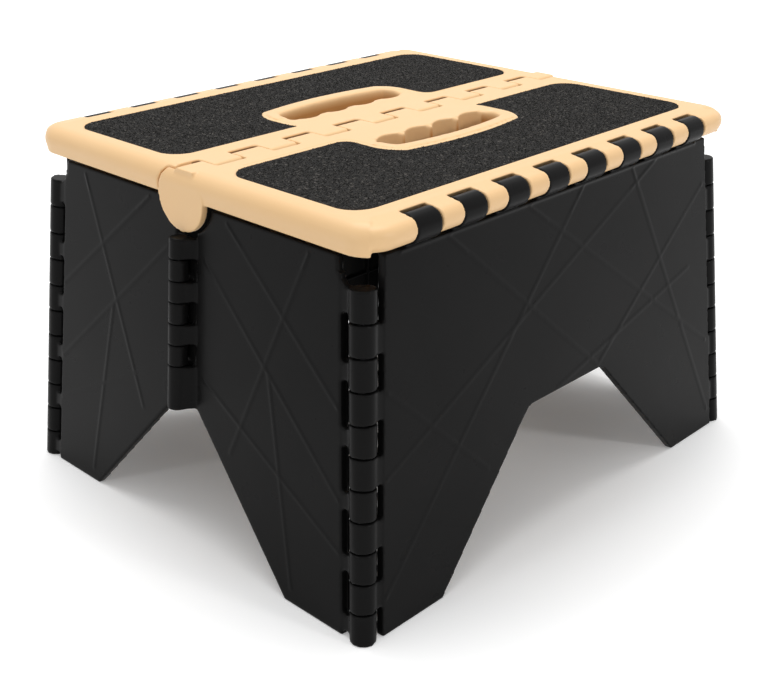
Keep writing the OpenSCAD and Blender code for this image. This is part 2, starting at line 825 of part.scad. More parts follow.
side_panel();  // side_panel_near
turn() side_panel();  // side_panel_far
end_half(0, pin_gap);  // end_left_near
flip() end_half(1, pin_gap);  // end_left_far
turn() flip() end_half(1, pin_gap);  // end_right_near
turn() end_half(0, mid_room);  // end_right_far
tread_half(pin_gap);  // tread_near
turn() tread_half(loose_gap);  // tread_far
grit_sheet();  // grit_near
turn() grit_sheet();  // grit_far
corner_pin();  // pin_left_near
flip() corner_pin();  // pin_left_far
turn() flip() corner_pin();  // pin_right_near
turn() corner_pin();  // pin_right_far
end_pin();  // pin_left_end
turn() end_pin();  // pin_right_end
tread_pin();  // pin_tread_near
turn() tread_pin();  // pin_tread_far
mid_tread_pin();  // pin_tread_mid
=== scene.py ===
"""Dresses the folding step stool: softened mouldings, grit, finishes, stage and camera."""

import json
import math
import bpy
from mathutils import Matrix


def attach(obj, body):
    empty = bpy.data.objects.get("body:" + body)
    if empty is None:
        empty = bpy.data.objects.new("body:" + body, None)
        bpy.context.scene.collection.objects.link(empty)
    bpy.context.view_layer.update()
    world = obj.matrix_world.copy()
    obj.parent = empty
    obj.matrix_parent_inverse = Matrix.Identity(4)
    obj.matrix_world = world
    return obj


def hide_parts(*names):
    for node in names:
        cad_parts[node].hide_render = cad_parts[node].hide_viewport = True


bl_info = {
    "name": "Folding step stool",
    "version": (1, 0, 0),
    "blender": (4, 5, 0),
    "location": "View3D > Sidebar > Stool",
    "description": "Builds the looks of a folding step stool around its packed solids",
    "category": "Object",
}

import bmesh
import bpy
from mathutils import Matrix, Vector

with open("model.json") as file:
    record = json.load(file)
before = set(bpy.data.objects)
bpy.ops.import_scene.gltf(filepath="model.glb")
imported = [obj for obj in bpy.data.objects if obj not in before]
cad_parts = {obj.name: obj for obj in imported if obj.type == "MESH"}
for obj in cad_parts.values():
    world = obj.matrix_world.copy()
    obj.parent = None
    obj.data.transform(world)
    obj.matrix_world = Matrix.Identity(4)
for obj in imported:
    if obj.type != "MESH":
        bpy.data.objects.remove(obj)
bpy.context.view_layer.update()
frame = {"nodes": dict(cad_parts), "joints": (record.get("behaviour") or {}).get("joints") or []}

NODES = frame["nodes"]
JOINTS = {joint["name"]: joint for joint in frame["joints"]}
HALF_TURN = Matrix.Rotation(math.pi, 4, "Z")
MM = 0.001
WELD_DISTANCE = 2e-6

BODY_OF = {
    "side_panel_near": "near_side", "side_panel_far": "far_side",
    "end_left_near": "left_near", "end_left_far": "left_far",
    "end_right_near": "right_near", "end_right_far": "right_far",
    "tread_near": "near_tread", "tread_far": "far_tread",
    "grit_near": "near_tread", "grit_far": "far_tread",
}
GRIT_NAMES = ("grit_near", "grit_far")

# The lengths from here to the zones of painted shade are in millimetres.

TREAD_TOP = 229.0

# An upright panel's outer faces: the depth where the smoothing starts, and its fade.
OUTER_START = 2.0
OUTER_FADE = 1.5

# The skins lie this far outside the hinge axis, and the crossing lines stand proud of them.
SIDE_SKIN = 6.4
END_SKIN = 5.4
LINE_PROUD = 0.12

# The crossing lines are smoothed up to a height and clear of the hinges. The clearance
# grows with the height, because the panels get narrower there.
LINE_TOP = 196.0
LINE_CLEAR = 12.0
LINE_CLEAR_GROWTH = 0.1
SIDE_SPAN = 352.6
END_REACH = 136.0

# The near handle hole's upper edge: depth, range across, reach along and fade.
RIM_DEPTH = 9.0
RIM_ACROSS = (-60.5, -34.0)
RIM_REACH = 53.5
RIM_FADE = 3.0

# Dark strips of painted shade behind hinge gaps, in the upright frame of an end panel: depths,
# reach from the pin, and heights.
MIDDLE_SHADE_STRIP = ((6.6, 7.6), (0.3, 9.8), (92.0, 188.0))
CORNER_SHADE_STRIP = ((-3.0, 0.85), (11.2, 12.9), (4.0, 189.0))

# Zones of painted shade in the tread plastic, which darken its colour inside the handle holes
# and on the slot floors. Each has the factors that darken the tread colour, then the lowest,
# highest and edge softness of the distance along the tread, of the distance across it, and of
# the height.
PAINTED_SHADE_ZONES = (
    # Painted shade inside the handle holes.
    ((0.74, 0.52, 0.32),
     (-1.0, 52.0, 0.5), (36.0, 57.0, 0.5), (190.0, TREAD_TOP - 3.5, 2.5)),
    # Painted shade on the slot floors.
    ((0.24, 0.16, 0.11),
     (-1.0, 150.0, 0.5), (6.7, 10.3, 0.2), (TREAD_TOP - 7.0, TREAD_TOP - 1.0, 0.3)),
)

# Factors that make the worn patches out of the plastics' own colours.
PANEL_WEAR = 3.2
TREAD_WEAR = (1.0, 0.93, 0.84)

# Factors that make the darkest and the middling grains out of the grit's own colour,
# and the place of the middling ones between the darkest and the palest.
DARK_GRAIN = 0.5
MIDDLE_GRAIN = 1.25
MIDDLE_GRAIN_PLACE = 0.74

# Grains sit on faces whose normal points up by more than this, and turn at random
# through up to one turn, in radians.
LEVEL_LIMIT = 0.9
FULL_TURN = 6.2832

SMOOTH_FACTOR = 0.5


class StoolSizes(bpy.types.PropertyGroup):
    """Sizes of the softened edges and of the grit."""
    panel_voxel: bpy.props.FloatProperty(
        name="Panel cell size", description="Cell size that the panels are resampled at",
        default=0.8 * MM, min=0.4 * MM, unit="LENGTH")
    tread_voxel: bpy.props.FloatProperty(
        name="Tread cell size", description="Cell size that the tread is resampled at",
        default=0.75 * MM, min=0.4 * MM, unit="LENGTH")
    soften_steps: bpy.props.IntProperty(
        name="Edge softening", description="Smoothing steps that round the moulded edges",
        default=3, min=0, max=12)
    line_steps: bpy.props.IntProperty(
        name="Line softening", description="Smoothing steps that flatten the crossing lines",
        default=24, min=0, max=40)
    rim_steps: bpy.props.IntProperty(
        name="Handle rim softening", description="Smoothing steps that round the handle holes",
        default=60, min=0, max=90)
    piece_triangles: bpy.props.IntProperty(
        name="Triangles in a moulding", description="Triangles kept in one resampled moulding",
        default=150000, min=20000, max=190000)
    grain_density: bpy.props.FloatProperty(
        name="Grain density", description="Grit grains on a square metre",
        default=700000.0, min=1000.0)
    grain_radius: bpy.props.FloatProperty(
        name="Grain radius", description="Radius of a middling grit grain",
        default=0.36 * MM, min=0.1 * MM, unit="LENGTH")
    grain_seed: bpy.props.IntProperty(
        name="Grain seed", description="Seed of the grit's random placing", default=7)


class StoolColours(bpy.types.PropertyGroup):
    """Colours of the finishes, in linear values."""
    panel: bpy.props.FloatVectorProperty(
        name="Panel plastic", description="Colour of the folding panels",
        default=(0.0049, 0.0048, 0.0048), subtype="COLOR", size=3, min=0, max=1)
    tread: bpy.props.FloatVectorProperty(
        name="Tread plastic", description="Colour of the tread mouldings",
        default=(0.86, 0.575, 0.30), subtype="COLOR", size=3, min=0, max=1)
    grit: bpy.props.FloatVectorProperty(
        name="Grit", description="Colour of the anti-slip sheets",
        default=(0.0085, 0.0078, 0.0070), subtype="COLOR", size=3, min=0, max=1)
    speck: bpy.props.FloatVectorProperty(
        name="Light grains", description="Colour of the palest grit grains",
        default=(0.11, 0.10, 0.09), subtype="COLOR", size=3, min=0, max=1)
    steel: bpy.props.FloatVectorProperty(
        name="Pin steel", description="Colour of the hinge pins",
        default=(0.58, 0.58, 0.60), subtype="COLOR", size=3, min=0, max=1)


def sizes():
    """The sizes that the sidebar shows."""
    return bpy.context.scene.stool_sizes


def colours():
    """The colours that the sidebar shows."""
    return bpy.context.scene.stool_colours


# Shader building blocks

def add_node(tree, kind, place, **settings):
    """A new node at a place in the tree, with settings of its own."""
    node = tree.nodes.new(kind)
    node.location = place
    for key, value in settings.items():
        setattr(node, key, value)
    return node


def fill(node, values):
    """Sets the inputs of a node that nothing is linked to."""
    for label, value in values.items():
        node.inputs[label].default_value = value


def object_coords(tree):
    """The socket of the object's own coordinates."""
    return add_node(tree, "ShaderNodeTexCoord", (-1100, 0)).outputs["Object"]


def texture(tree, kind, coords, place, values):
    """A texture node on some coordinates."""
    node = add_node(tree, kind, place)
    fill(node, values)
    tree.links.new(coords, node.inputs["Vector"])
    return node


def math_value(tree, operation, place, *values):
    """What a Math node makes of one or two sockets."""
    node = add_node(tree, "ShaderNodeMath", place, operation=operation)
    for index, value in enumerate(values):
        tree.links.new(value, node.inputs[index])
    return node.outputs["Value"]


def map_range(tree, value, place, limits, interpolation="LINEAR"):
    """A Map Range node on a value."""
    node = add_node(tree, "ShaderNodeMapRange", place, interpolation_type=interpolation)
    fill(node, limits)
    tree.links.new(value, node.inputs["Value"])
    return node


def band(tree, value, low, high, soft):
    """A mask that is 1 where a length in metres lies between low and high."""
    sides = []
    for edge, sign in ((low, 1), (high, -1)):
        limits = {"From Min": edge * MM - sign * soft * MM,
                  "From Max": edge * MM + sign * soft * MM}
        sides.append(map_range(tree, value, (-700, -500), limits).outputs["Result"])
    return math_value(tree, "MULTIPLY", (-500, -500), *sides)


def looking_rays(tree, left, height):
    """A mask that is 1 for camera, glossy and transmission rays."""
    path = add_node(tree, "ShaderNodeLightPath", (left, height))
    mask = path.outputs["Is Camera Ray"]
    for label in ("Is Glossy Ray", "Is Transmission Ray"):
        left += 200
        mask = math_value(tree, "MAXIMUM", (left, height), mask, path.outputs[label])
    return mask


def group_tree(name, inputs, outputs):
    """A new shader group with its sockets; returns the tree and its two end nodes."""
    tree = bpy.data.node_groups.new(name, "ShaderNodeTree")
    for label, kind, value in inputs:
        socket = tree.interface.new_socket(label, in_out="INPUT", socket_type=kind)
        socket.default_value = value
    for label, kind in outputs:
        tree.interface.new_socket(label, in_out="OUTPUT", socket_type=kind)
    start = add_node(tree, "NodeGroupInput", (-900, 0))
    end = add_node(tree, "NodeGroupOutput", (700, 0))
    return tree, start, end


def moulded_skin_group():
    """Cloudy colour, fine moulding texture and handling marks of cast plastic."""
    name = "moulded_skin"
    if name in bpy.data.node_groups:
        return bpy.data.node_groups[name]
    tree, start, end = group_tree(
        name,
        [("Base", "NodeSocketColor", (0.5, 0.5, 0.5, 1)),
         ("Worn", "NodeSocketColor", (0.6, 0.6, 0.6, 1)),
         ("Cloud Amount", "NodeSocketFloat", 0.1),
         ("Texture Scale", "NodeSocketFloat", 900.0),
         ("Rough Low", "NodeSocketFloat", 0.35),
         ("Rough High", "NodeSocketFloat", 0.5)],
        [("Color", "NodeSocketColor"), ("Roughness", "NodeSocketFloat"),
         ("Height", "NodeSocketFloat")])
    links = tree.links
    coords = object_coords(tree)
    noise = "ShaderNodeTexNoise"
    cloud = texture(tree, noise, coords, (-600, 300), {"Scale": 18.0, "Detail": 4.0})
    fine = texture(tree, noise, coords, (-600, 0), {"Detail": 3.0})
    flow = texture(tree, noise, coords, (-600, -300), {"Scale": 60.0, "Detail": 2.0})
    links.new(start.outputs["Texture Scale"], fine.inputs["Scale"])
    amount = math_value(tree, "MULTIPLY", (-350, 300),
                        cloud.outputs["Fac"], start.outputs["Cloud Amount"])
    mix = add_node(tree, "ShaderNodeMix", (-100, 300), data_type="RGBA")
    links.new(amount, mix.inputs["Factor"])
    links.new(start.outputs["Base"], mix.inputs["A"])
    links.new(start.outputs["Worn"], mix.inputs["B"])
    rough = map_range(tree, flow.outputs["Fac"], (-100, -100), {})
    links.new(start.outputs["Rough Low"], rough.inputs["To Min"])
    links.new(start.outputs["Rough High"], rough.inputs["To Max"])
    links.new(mix.outputs["Result"], end.inputs["Color"])
    links.new(rough.outputs["Result"], end.inputs["Roughness"])
    links.new(fine.outputs["Fac"], end.inputs["Height"])
    return tree


# Finishes

def new_material(name):
    """A new material; returns it with its tree and its shader."""
    material = bpy.data.materials.new(name)
    material.use_nodes = True
    tree = material.node_tree
    tree.nodes.clear()
    shader = add_node(tree, "ShaderNodeBsdfPrincipled", (300, 0))
    out = add_node(tree, "ShaderNodeOutputMaterial", (600, 0))
    tree.links.new(shader.outputs["BSDF"], out.inputs["Surface"])
    return material, tree, shader


def bump_into(tree, shader, height, distance, strength):
    """Bumps a shader's normal; the distance is in millimetres."""
    bump = add_node(tree, "ShaderNodeBump", (50, -250))
    fill(bump, {"Distance": distance * MM, "Strength": strength})
    tree.links.new(height, bump.inputs["Height"])
    tree.links.new(bump.outputs["Normal"], shader.inputs["Normal"])


def plastic(name, base, worn, shine, values):
    """A satin moulded plastic; values go to the moulded skin."""
    material, tree, shader = new_material(name)
    skin = add_node(tree, "ShaderNodeGroup", (-250, 0), node_tree=moulded_skin_group())
    fill(skin, {"Base": (*base, 1), "Worn": (*worn, 1), **values})
    tree.links.new(skin.outputs["Color"], shader.inputs["Base Color"])
    tree.links.new(skin.outputs["Roughness"], shader.inputs["Roughness"])
    bump_into(tree, shader, skin.outputs["Height"], distance=0.02, strength=0.6)
    shader.inputs["Specular IOR Level"].default_value = shine
    return material


def panel_material():
    """Near-black plastic with a dull shine."""
    base = colours().panel
    worn = [min(1.0, PANEL_WEAR * part) for part in base]
    return plastic("panel_plastic", base, worn, shine=0.055, values={
        "Cloud Amount": 0.35, "Texture Scale": 1400.0,
        "Rough Low": 0.24, "Rough High": 0.34})


def tread_material():
    """Beige plastic, with painted shade that darkens it inside the hinge slots and the handle
    holes.
    """
    base = colours().tread
    worn = [part * share for part, share in zip(base, TREAD_WEAR)]
    material = plastic("tread_plastic", base, worn, shine=0.4, values={
        "Cloud Amount": 0.5, "Texture Scale": 1300.0,
        "Rough Low": 0.36, "Rough High": 0.46})
    tree = material.node_tree
    shader = next(node for node in tree.nodes if node.type == "BSDF_PRINCIPLED")
    colour = shader.inputs["Base Color"].links[0].from_socket
    split = add_node(tree, "ShaderNodeSeparateXYZ", (-900, -400))
    tree.links.new(object_coords(tree), split.inputs["Vector"])
    along, across = (math_value(tree, "ABSOLUTE", (-800, -400), split.outputs[axis])
                     for axis in "XY")
    # Painted shade: each zone darkens the tread colour inside the handle holes or on the slot
    # floors.
    for tone, *limits in PAINTED_SHADE_ZONES:
        shade_masks = [band(tree, value, *limit)
                 for value, limit in zip((along, across, split.outputs["Z"]), limits)]
        mask = math_value(tree, "MULTIPLY", (-300, -500), shade_masks[0], shade_masks[1])
        mask = math_value(tree, "MULTIPLY", (-150, -500), mask, shade_masks[2])
        shade_mix = add_node(tree, "ShaderNodeMix", (0, 100), data_type="RGBA")
        tree.links.new(mask, shade_mix.inputs["Factor"])
        tree.links.new(colour, shade_mix.inputs["A"])
        shade_mix.inputs["B"].default_value = [part * share for part, share in zip(base, tone)] + [1]
        colour = shade_mix.outputs["Result"]
    tree.links.new(colour, shader.inputs["Base Color"])
    return material


def grit_material():
    """Dark grains with scattered pale ones."""
    material, tree, shader = new_material("grit_grains")
    cells = texture(tree, "ShaderNodeTexVoronoi", object_coords(tree), (-650, 100),
                    {"Scale": 900.0})
    ramp = add_node(tree, "ShaderNodeValToRGB", (-350, 150))
    grit = colours().grit
    stops = ramp.color_ramp.elements
    stops[0].position, stops[0].color = 0.0, [DARK_GRAIN * part for part in grit] + [1]
    stops[1].position, stops[1].color = 1.0, [*colours().speck, 1]
    middle = stops.new(MIDDLE_GRAIN_PLACE)
    middle.color = [MIDDLE_GRAIN * part for part in grit] + [1]
    tree.links.new(cells.outputs["Color"], ramp.inputs["Fac"])
    tree.links.new(ramp.outputs["Color"], shader.inputs["Base Color"])
    bump_into(tree, shader, cells.outputs["Distance"], distance=0.3, strength=0.9)
    fill(shader, {"Roughness": 0.72, "Specular IOR Level": 0.12})
    return material


def steel_material():
    """Drawn wire, a little uneven in its shine."""
    material, tree, shader = new_material("pin_steel")
    lines = texture(tree, "ShaderNodeTexNoise", object_coords(tree), (-650, 0),
                    {"Scale": 1500.0})
    rough = map_range(tree, lines.outputs["Fac"], (-350, 0), {"To Min": 0.22, "To Max": 0.42})
    tree.links.new(rough.outputs["Result"], shader.inputs["Roughness"])
    bump_into(tree, shader, lines.outputs["Fac"], distance=0.01, strength=0.5)
    fill(shader, {"Base Color": (*colours().steel, 1), "Metallic": 1.0})
    return material


def wear(obj, material):
    """Gives every slot of an object one material."""
    if not obj.data.materials:
        obj.data.materials.append(material)
    for slot in obj.material_slots:
        slot.material = material


# Mesh building blocks

def linked_object(name, data):
    """A new object in the scene's collection."""
    obj = bpy.data.objects.new(name, data)
    bpy.context.scene.collection.objects.link(obj)
    return obj


def merged_copy(node, name, turn):
    """A CAD node's mesh as one welded mesh, moved by a matrix."""
    mesh = NODES[node].data.copy()
    mesh.name = name
    work = bmesh.new()
    work.from_mesh(mesh)
    bmesh.ops.remove_doubles(work, verts=work.verts, dist=WELD_DISTANCE)
    bmesh.ops.transform(work, matrix=turn, verts=work.verts)
    work.to_mesh(mesh)
    work.free()
    mesh.materials.clear()
    return mesh


def evaluated_mesh(obj, name):
    """The plain mesh that an object's modifiers make; the object is then removed."""
    graph = bpy.context.evaluated_depsgraph_get()
    mesh = bpy.data.meshes.new_from_object(obj.evaluated_get(graph), depsgraph=graph)
    mesh.name = name
    bpy.data.objects.remove(obj)
    return mesh


def turned_mesh(mesh, name):
    """The same mesh after a half turn about the middle."""
    copy = mesh.copy()
    copy.name = name
    copy.transform(HALF_TURN)
    return copy


def smooth_part(obj, label, steps, weight_at):
    """Smooths an object's mesh where weight_at gives a point a weight above zero."""
    group = obj.vertex_groups.new(name=label)
    for vertex in obj.data.vertices:
        weight = weight_at(vertex.co)
        if weight > 0.0:
            group.add((vertex.index,), weight, "REPLACE")
    smooth = obj.modifiers.new(label, "SMOOTH")
    smooth.factor = SMOOTH_FACTOR
    smooth.iterations = steps
    smooth.vertex_group = label


def softened_mesh(node, name, upright, voxel, weights):
    """A CAD node resampled in its own upright frame, so that its edges come out rounded."""
    obj = linked_object(name + "_raw", merged_copy(node, name + "_raw", upright))
    remesh = obj.modifiers.new("resample", "REMESH")
    remesh.mode = "VOXEL"
    remesh.voxel_size = voxel
    obj = linked_object(name + "_cells", evaluated_mesh(obj, name + "_cells"))
    for label, steps, weight_at in weights:
        smooth_part(obj, label, steps, weight_at)
    graph = bpy.context.evaluated_depsgraph_get()
    quads = len(obj.evaluated_get(graph).data.polygons)
    decimate = obj.modifiers.new("thin", "DECIMATE")
    decimate.ratio = min(1.0, sizes().piece_triangles / max(1, 2 * quads))
    result = evaluated_mesh(obj, name)
    result.transform(upright.inverted())
    result.shade_smooth()
    return result


def upward(axis):
    """A hinge axis, turned round if it points down."""
    axis = Vector(axis)
    return axis if axis.z > 0 else -axis


def upright_frame(joint_name, across):
    """The turn that stands a leaning panel upright; across is 0 for ends and 1 for sides."""
    joint = JOINTS[joint_name]
    axis = upward(joint["axis"])
    if across == 1:
        turn = Matrix.Rotation(math.atan2(axis.y, axis.z), 4, "X")
    else:
        turn = Matrix.Rotation(-math.atan2(axis.x, axis.z), 4, "Y")
    return turn @ Matrix.Translation(-Vector(joint["pos_m"]))


def outer_side(axis):
    """Weight of the outer faces of an upright panel, whose depth runs along an axis."""
    def weight_at(spot):
        return min(1.0, max(0.0, (-spot[axis] / MM - OUTER_START) / OUTER_FADE))
    return weight_at


def raised_lines(axis, skin, far_end):
    """Weight of the crossing lines on an upright panel's skin, clear of its hinges."""
    def weight_at(spot):
        along, high = abs(spot[1 - axis]) / MM, spot.z / MM
        clear = LINE_CLEAR + LINE_CLEAR_GROWTH * high
        if high > LINE_TOP or not clear < along < far_end(clear):
            return 0.0
        return 1.0 if -spot[axis] / MM > skin + LINE_PROUD else 0.0
    return weight_at


def hole_rim(spot):
    """Weight of the near handle hole's upper edge."""
    x, y, z = spot.x / MM, spot.y / MM, spot.z / MM
    low, high = RIM_ACROSS
    if z < TREAD_TOP - RIM_DEPTH or not low < y < high or abs(x) > RIM_REACH:
        return 0.0
    return min(1.0, (z - TREAD_TOP + RIM_DEPTH) / RIM_FADE)


def strip_mesh(name, place, ranges, side):
    """A box in ranges of depth, reach to one side and height, moved by a matrix."""
    depths, reach, heights = ranges
    corners = zip(depths, sorted(side * length for length in reach), heights)
    low, high = (Vector(corner) * MM for corner in corners)
    work = bmesh.new()
    bmesh.ops.create_cube(work, size=1.0)
    box = Matrix.Translation((low + high) / 2) @ Matrix.Diagonal((*(high - low), 1.0))
    bmesh.ops.transform(work, matrix=place @ box, verts=work.verts)
    bmesh.ops.recalc_face_normals(work, faces=work.faces)
    mesh = bpy.data.meshes.new(name)
    work.to_mesh(mesh)
    work.free()
    return mesh


def middle_shade_strip(side, name):
    """A thin dark strip behind the left middle hinge, on one side of its pin, as painted shade
    seen through the gap.
    """
    return strip_mesh(name, upright_frame("left_middle", 0).inverted(), MIDDLE_SHADE_STRIP, side)


def corner_shade_strip(joint_name, side, name):
    """A thin dark strip beside a corner hinge, at an end panel's plate edge, as painted shade
    seen through the gap.
    """
    upright = upright_frame(joint_name, 0)
    axis = upward(upright.to_3x3() @ Vector(JOINTS[joint_name]["axis"]))
    place = upright.inverted() @ Matrix.Rotation(-math.atan2(axis.y, axis.z), 4, "X")
    return strip_mesh(name, place, CORNER_SHADE_STRIP, side)


# Pieces

def place_piece(name, mesh, body, material, replaced=None):
    """Puts a mesh on a moving body; it can stand in for a CAD node."""
    obj = linked_object(name, mesh)
    wear(obj, material)
    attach(obj, body)
    if replaced:
        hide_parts(replaced)


def place_mouldings(first, second, mesh, material):
    """Replaces two CAD nodes by one moulding and its half-turned copy."""
    place_piece(first + "_moulding", mesh, BODY_OF[first], material, first)
    copy = turned_mesh(mesh, second + "_moulding")
    place_piece(second + "_moulding", copy, BODY_OF[second], material, second)


class STOOL_OT_panels(bpy.types.Operator):
    """Softens and finishes the six folding panels."""
    bl_idname = "stool.panels"
    bl_label = "Folding panels"

    def execute(self, context):
        material = panel_material()
        side_lines = raised_lines(1, SIDE_SKIN, lambda clear: SIDE_SPAN - clear)
        end_lines = raised_lines(0, END_SKIN, lambda clear: END_REACH)
        plans = (
            ("side_panel_near", "fold", 1, side_lines, "side_panel_far"),
            ("end_left_near", "fold", 0, end_lines, "end_right_far"),
            ("end_left_far", "left_far_corner", 0, end_lines, "end_right_near"),
        )
        for first, joint_name, across, lines, second in plans:
            weights = [("soften", sizes().soften_steps, outer_side(across)),
                       ("lines", sizes().line_steps, lines)]
            mesh = softened_mesh(first, first + "_moulding", upright_frame(joint_name, across),
                                 sizes().panel_voxel, weights)
            place_mouldings(first, second, mesh, material)
        # Dark strips behind the hinge gaps: painted shade where the gaps would show the lit
        # floor.
        strips = (
            ("left_near", middle_shade_strip(-1, "left_near_middle_strip"), "right_far"),
            ("left_far", middle_shade_strip(1, "left_far_middle_strip"), "right_near"),
            ("left_near", corner_shade_strip("fold", 1, "left_near_corner_strip"), "right_far"),
            ("left_far", corner_shade_strip("left_far_corner", -1, "left_far_corner_strip"),
             "right_near"),
        )
        for first, strip, second in strips:
            place_piece(strip.name, strip, first, material)
            copy = turned_mesh(strip, strip.name.replace(first, second))
            place_piece(copy.name, copy, second, material)
        return {"FINISHED"}


class STOOL_OT_treads(bpy.types.Operator):
    """Softens and finishes the two tread mouldings."""
    bl_idname = "stool.treads"
    bl_label = "Tread halves"

    def execute(self, context):
        weights = [("soften", sizes().soften_steps, lambda spot: 1.0),
                   ("hole_rim", sizes().rim_steps, hole_rim)]
        material = tread_material()
        mesh = softened_mesh("tread_near", "tread_near_moulding", Matrix.Identity(4),
                             sizes().tread_voxel, weights)
        place_mouldings("tread_near", "tread_far", mesh, material)
        return {"FINISHED"}


def grain_tree():
    """Geometry Nodes that scatter angular grains over the upward faces."""
    tree = bpy.data.node_groups.new("grit_scatter", "GeometryNodeTree")
    ports = {}
    for label, kind, value in (
            ("Sheet", "NodeSocketGeometry", None),
            ("Density", "NodeSocketFloat", 1.0),
            ("Grain Radius", "NodeSocketFloat", 0.001),
            ("Seed", "NodeSocketInt", 0),
            ("Finish", "NodeSocketMaterial", None)):
        socket = tree.interface.new_socket(label, in_out="INPUT", socket_type=kind)
        if value is not None:
            socket.default_value = value
        ports[label] = socket.identifier
    tree.interface.new_socket("Grains", in_out="OUTPUT", socket_type="NodeSocketGeometry")
    start = add_node(tree, "NodeGroupInput", (-900, 0))
    end = add_node(tree, "NodeGroupOutput", (900, 0))
    links = tree.links
    normal = add_node(tree, "GeometryNodeInputNormal", (-900, -300))
    split = add_node(tree, "ShaderNodeSeparateXYZ", (-700, -300))
    level = add_node(tree, "FunctionNodeCompare", (-500, -300), operation="GREATER_THAN")
    level.inputs[1].default_value = LEVEL_LIMIT
    links.new(normal.outputs["Normal"], split.inputs["Vector"])
    links.new(split.outputs["Z"], level.inputs[0])
    points = add_node(tree, "GeometryNodeDistributePointsOnFaces", (-300, 0))
    links.new(start.outputs["Sheet"], points.inputs["Mesh"])
    links.new(start.outputs["Density"], points.inputs["Density"])
    links.new(start.outputs["Seed"], points.inputs["Seed"])
    links.new(level.outputs["Result"], points.inputs["Selection"])
    grain = add_node(tree, "GeometryNodeMeshUVSphere", (-300, -300))
    fill(grain, {"Segments": 4, "Rings": 2})
    links.new(start.outputs["Grain Radius"], grain.inputs["Radius"])
    turn = add_node(tree, "FunctionNodeRandomValue", (-300, -500), data_type="FLOAT_VECTOR")
    fill(turn, {"Max": (FULL_TURN, FULL_TURN, FULL_TURN)})
    size = add_node(tree, "FunctionNodeRandomValue", (-300, -700), data_type="FLOAT_VECTOR")
    fill(size, {"Min": (0.55, 0.55, 0.5), "Max": (1.5, 1.5, 1.1)})
    links.new(start.outputs["Seed"], turn.inputs["Seed"])
    links.new(start.outputs["Seed"], size.inputs["Seed"])
    placed = add_node(tree, "GeometryNodeInstanceOnPoints", (0, 0))
    links.new(points.outputs["Points"], placed.inputs["Points"])
    links.new(grain.outputs["Mesh"], placed.inputs["Instance"])
    links.new(turn.outputs["Value"], placed.inputs["Rotation"])
    links.new(size.outputs["Value"], placed.inputs["Scale"])
    real = add_node(tree, "GeometryNodeRealizeInstances", (250, 0))
    links.new(placed.outputs["Instances"], real.inputs["Geometry"])
    finish = add_node(tree, "GeometryNodeSetMaterial", (500, 0))
    links.new(real.outputs["Geometry"], finish.inputs["Geometry"])
    links.new(start.outputs["Finish"], finish.inputs["Material"])
    links.new(finish.outputs["Geometry"], end.inputs["Grains"])
    return tree, ports


class STOOL_OT_grit(bpy.types.Operator):
    """Scatters grains over the two grit sheets and finishes them."""
    bl_idname = "stool.grit"
    bl_label = "Grit sheets"

    def execute(self, context):
        material = grit_material()
        for name in GRIT_NAMES:
            wear(NODES[name], material)
        tree, ports = grain_tree()
        base = linked_object(
            "grit_base", merged_copy("grit_near", "grit_base", Matrix.Identity(4)))
        scatter = base.modifiers.new("scatter", "NODES")
        scatter.node_group = tree
        scatter[ports["Density"]] = sizes().grain_density
        scatter[ports["Grain Radius"]] = sizes().grain_radius
        scatter[ports["Seed"]] = sizes().grain_seed
        scatter[ports["Finish"]] = material
        grains = evaluated_mesh(base, "grit_near_grains")
        copy = turned_mesh(grains, "grit_far_grains")
        for name, mesh in zip(GRIT_NAMES, (grains, copy)):
            place_piece(mesh.name, mesh, BODY_OF[name], material)
        return {"FINISHED"}


class STOOL_OT_pins(bpy.types.Operator):
    """Finishes the steel hinge pins."""
    bl_idname = "stool.pins"
    bl_label = "Hinge pins"

    def execute(self, context):
        material = steel_material()
        for name, node in NODES.items():
            if name.startswith("pin_"):
                wear(node, material)
        return {"FINISHED"}


# Stage, in metres and watts

CAMERA_SPOT = (-0.554343, -0.533153, 0.422782)
CAMERA_YAW = 0.796
CAMERA_PITCH = 0.425
CAMERA_ROLL = -0.005
CAMERA_LENS = 58.534
FLOOR_SIZE = 6.0
SKY_STRENGTH = 0.5

# The floor's glow by distance from the middle: a ramp round the stool, kept low near it as a
# painted shadow under the stool, and one far out.
FLOOR_GLOW = (
    {"From Min": 0.1, "From Max": 0.32, "To Min": 0.06, "To Max": 0.34},
    {"From Min": 0.7, "From Max": 2.2, "To Min": 0.0, "To Max": 0.9},
)

# Each lamp has its place, what it points at, its width and its power.
LAMPS = {
    "overhead": ((0.15, 0.35, 2.0), (0, 0, 0.1), 1.8, 28.0),
    "left_strip": ((-1.9, 0.1, 0.9), (0, 0, 0.12), 0.25, 3.0),
    "right_strip": ((0.3, -1.9, 0.9), (0, 0, 0.12), 0.25, 6.5),
}


def soft_lamp(name, spot, target, width, power):
    """A round area lamp."""
    data = bpy.data.lights.new(name, "AREA")
    data.shape = "DISK"
    data.size = width
    data.energy = power
    lamp = linked_object(name, data)
    lamp.location = spot
    lamp.rotation_euler = (Vector(target) - Vector(spot)).to_track_quat("-Z", "Y").to_euler()


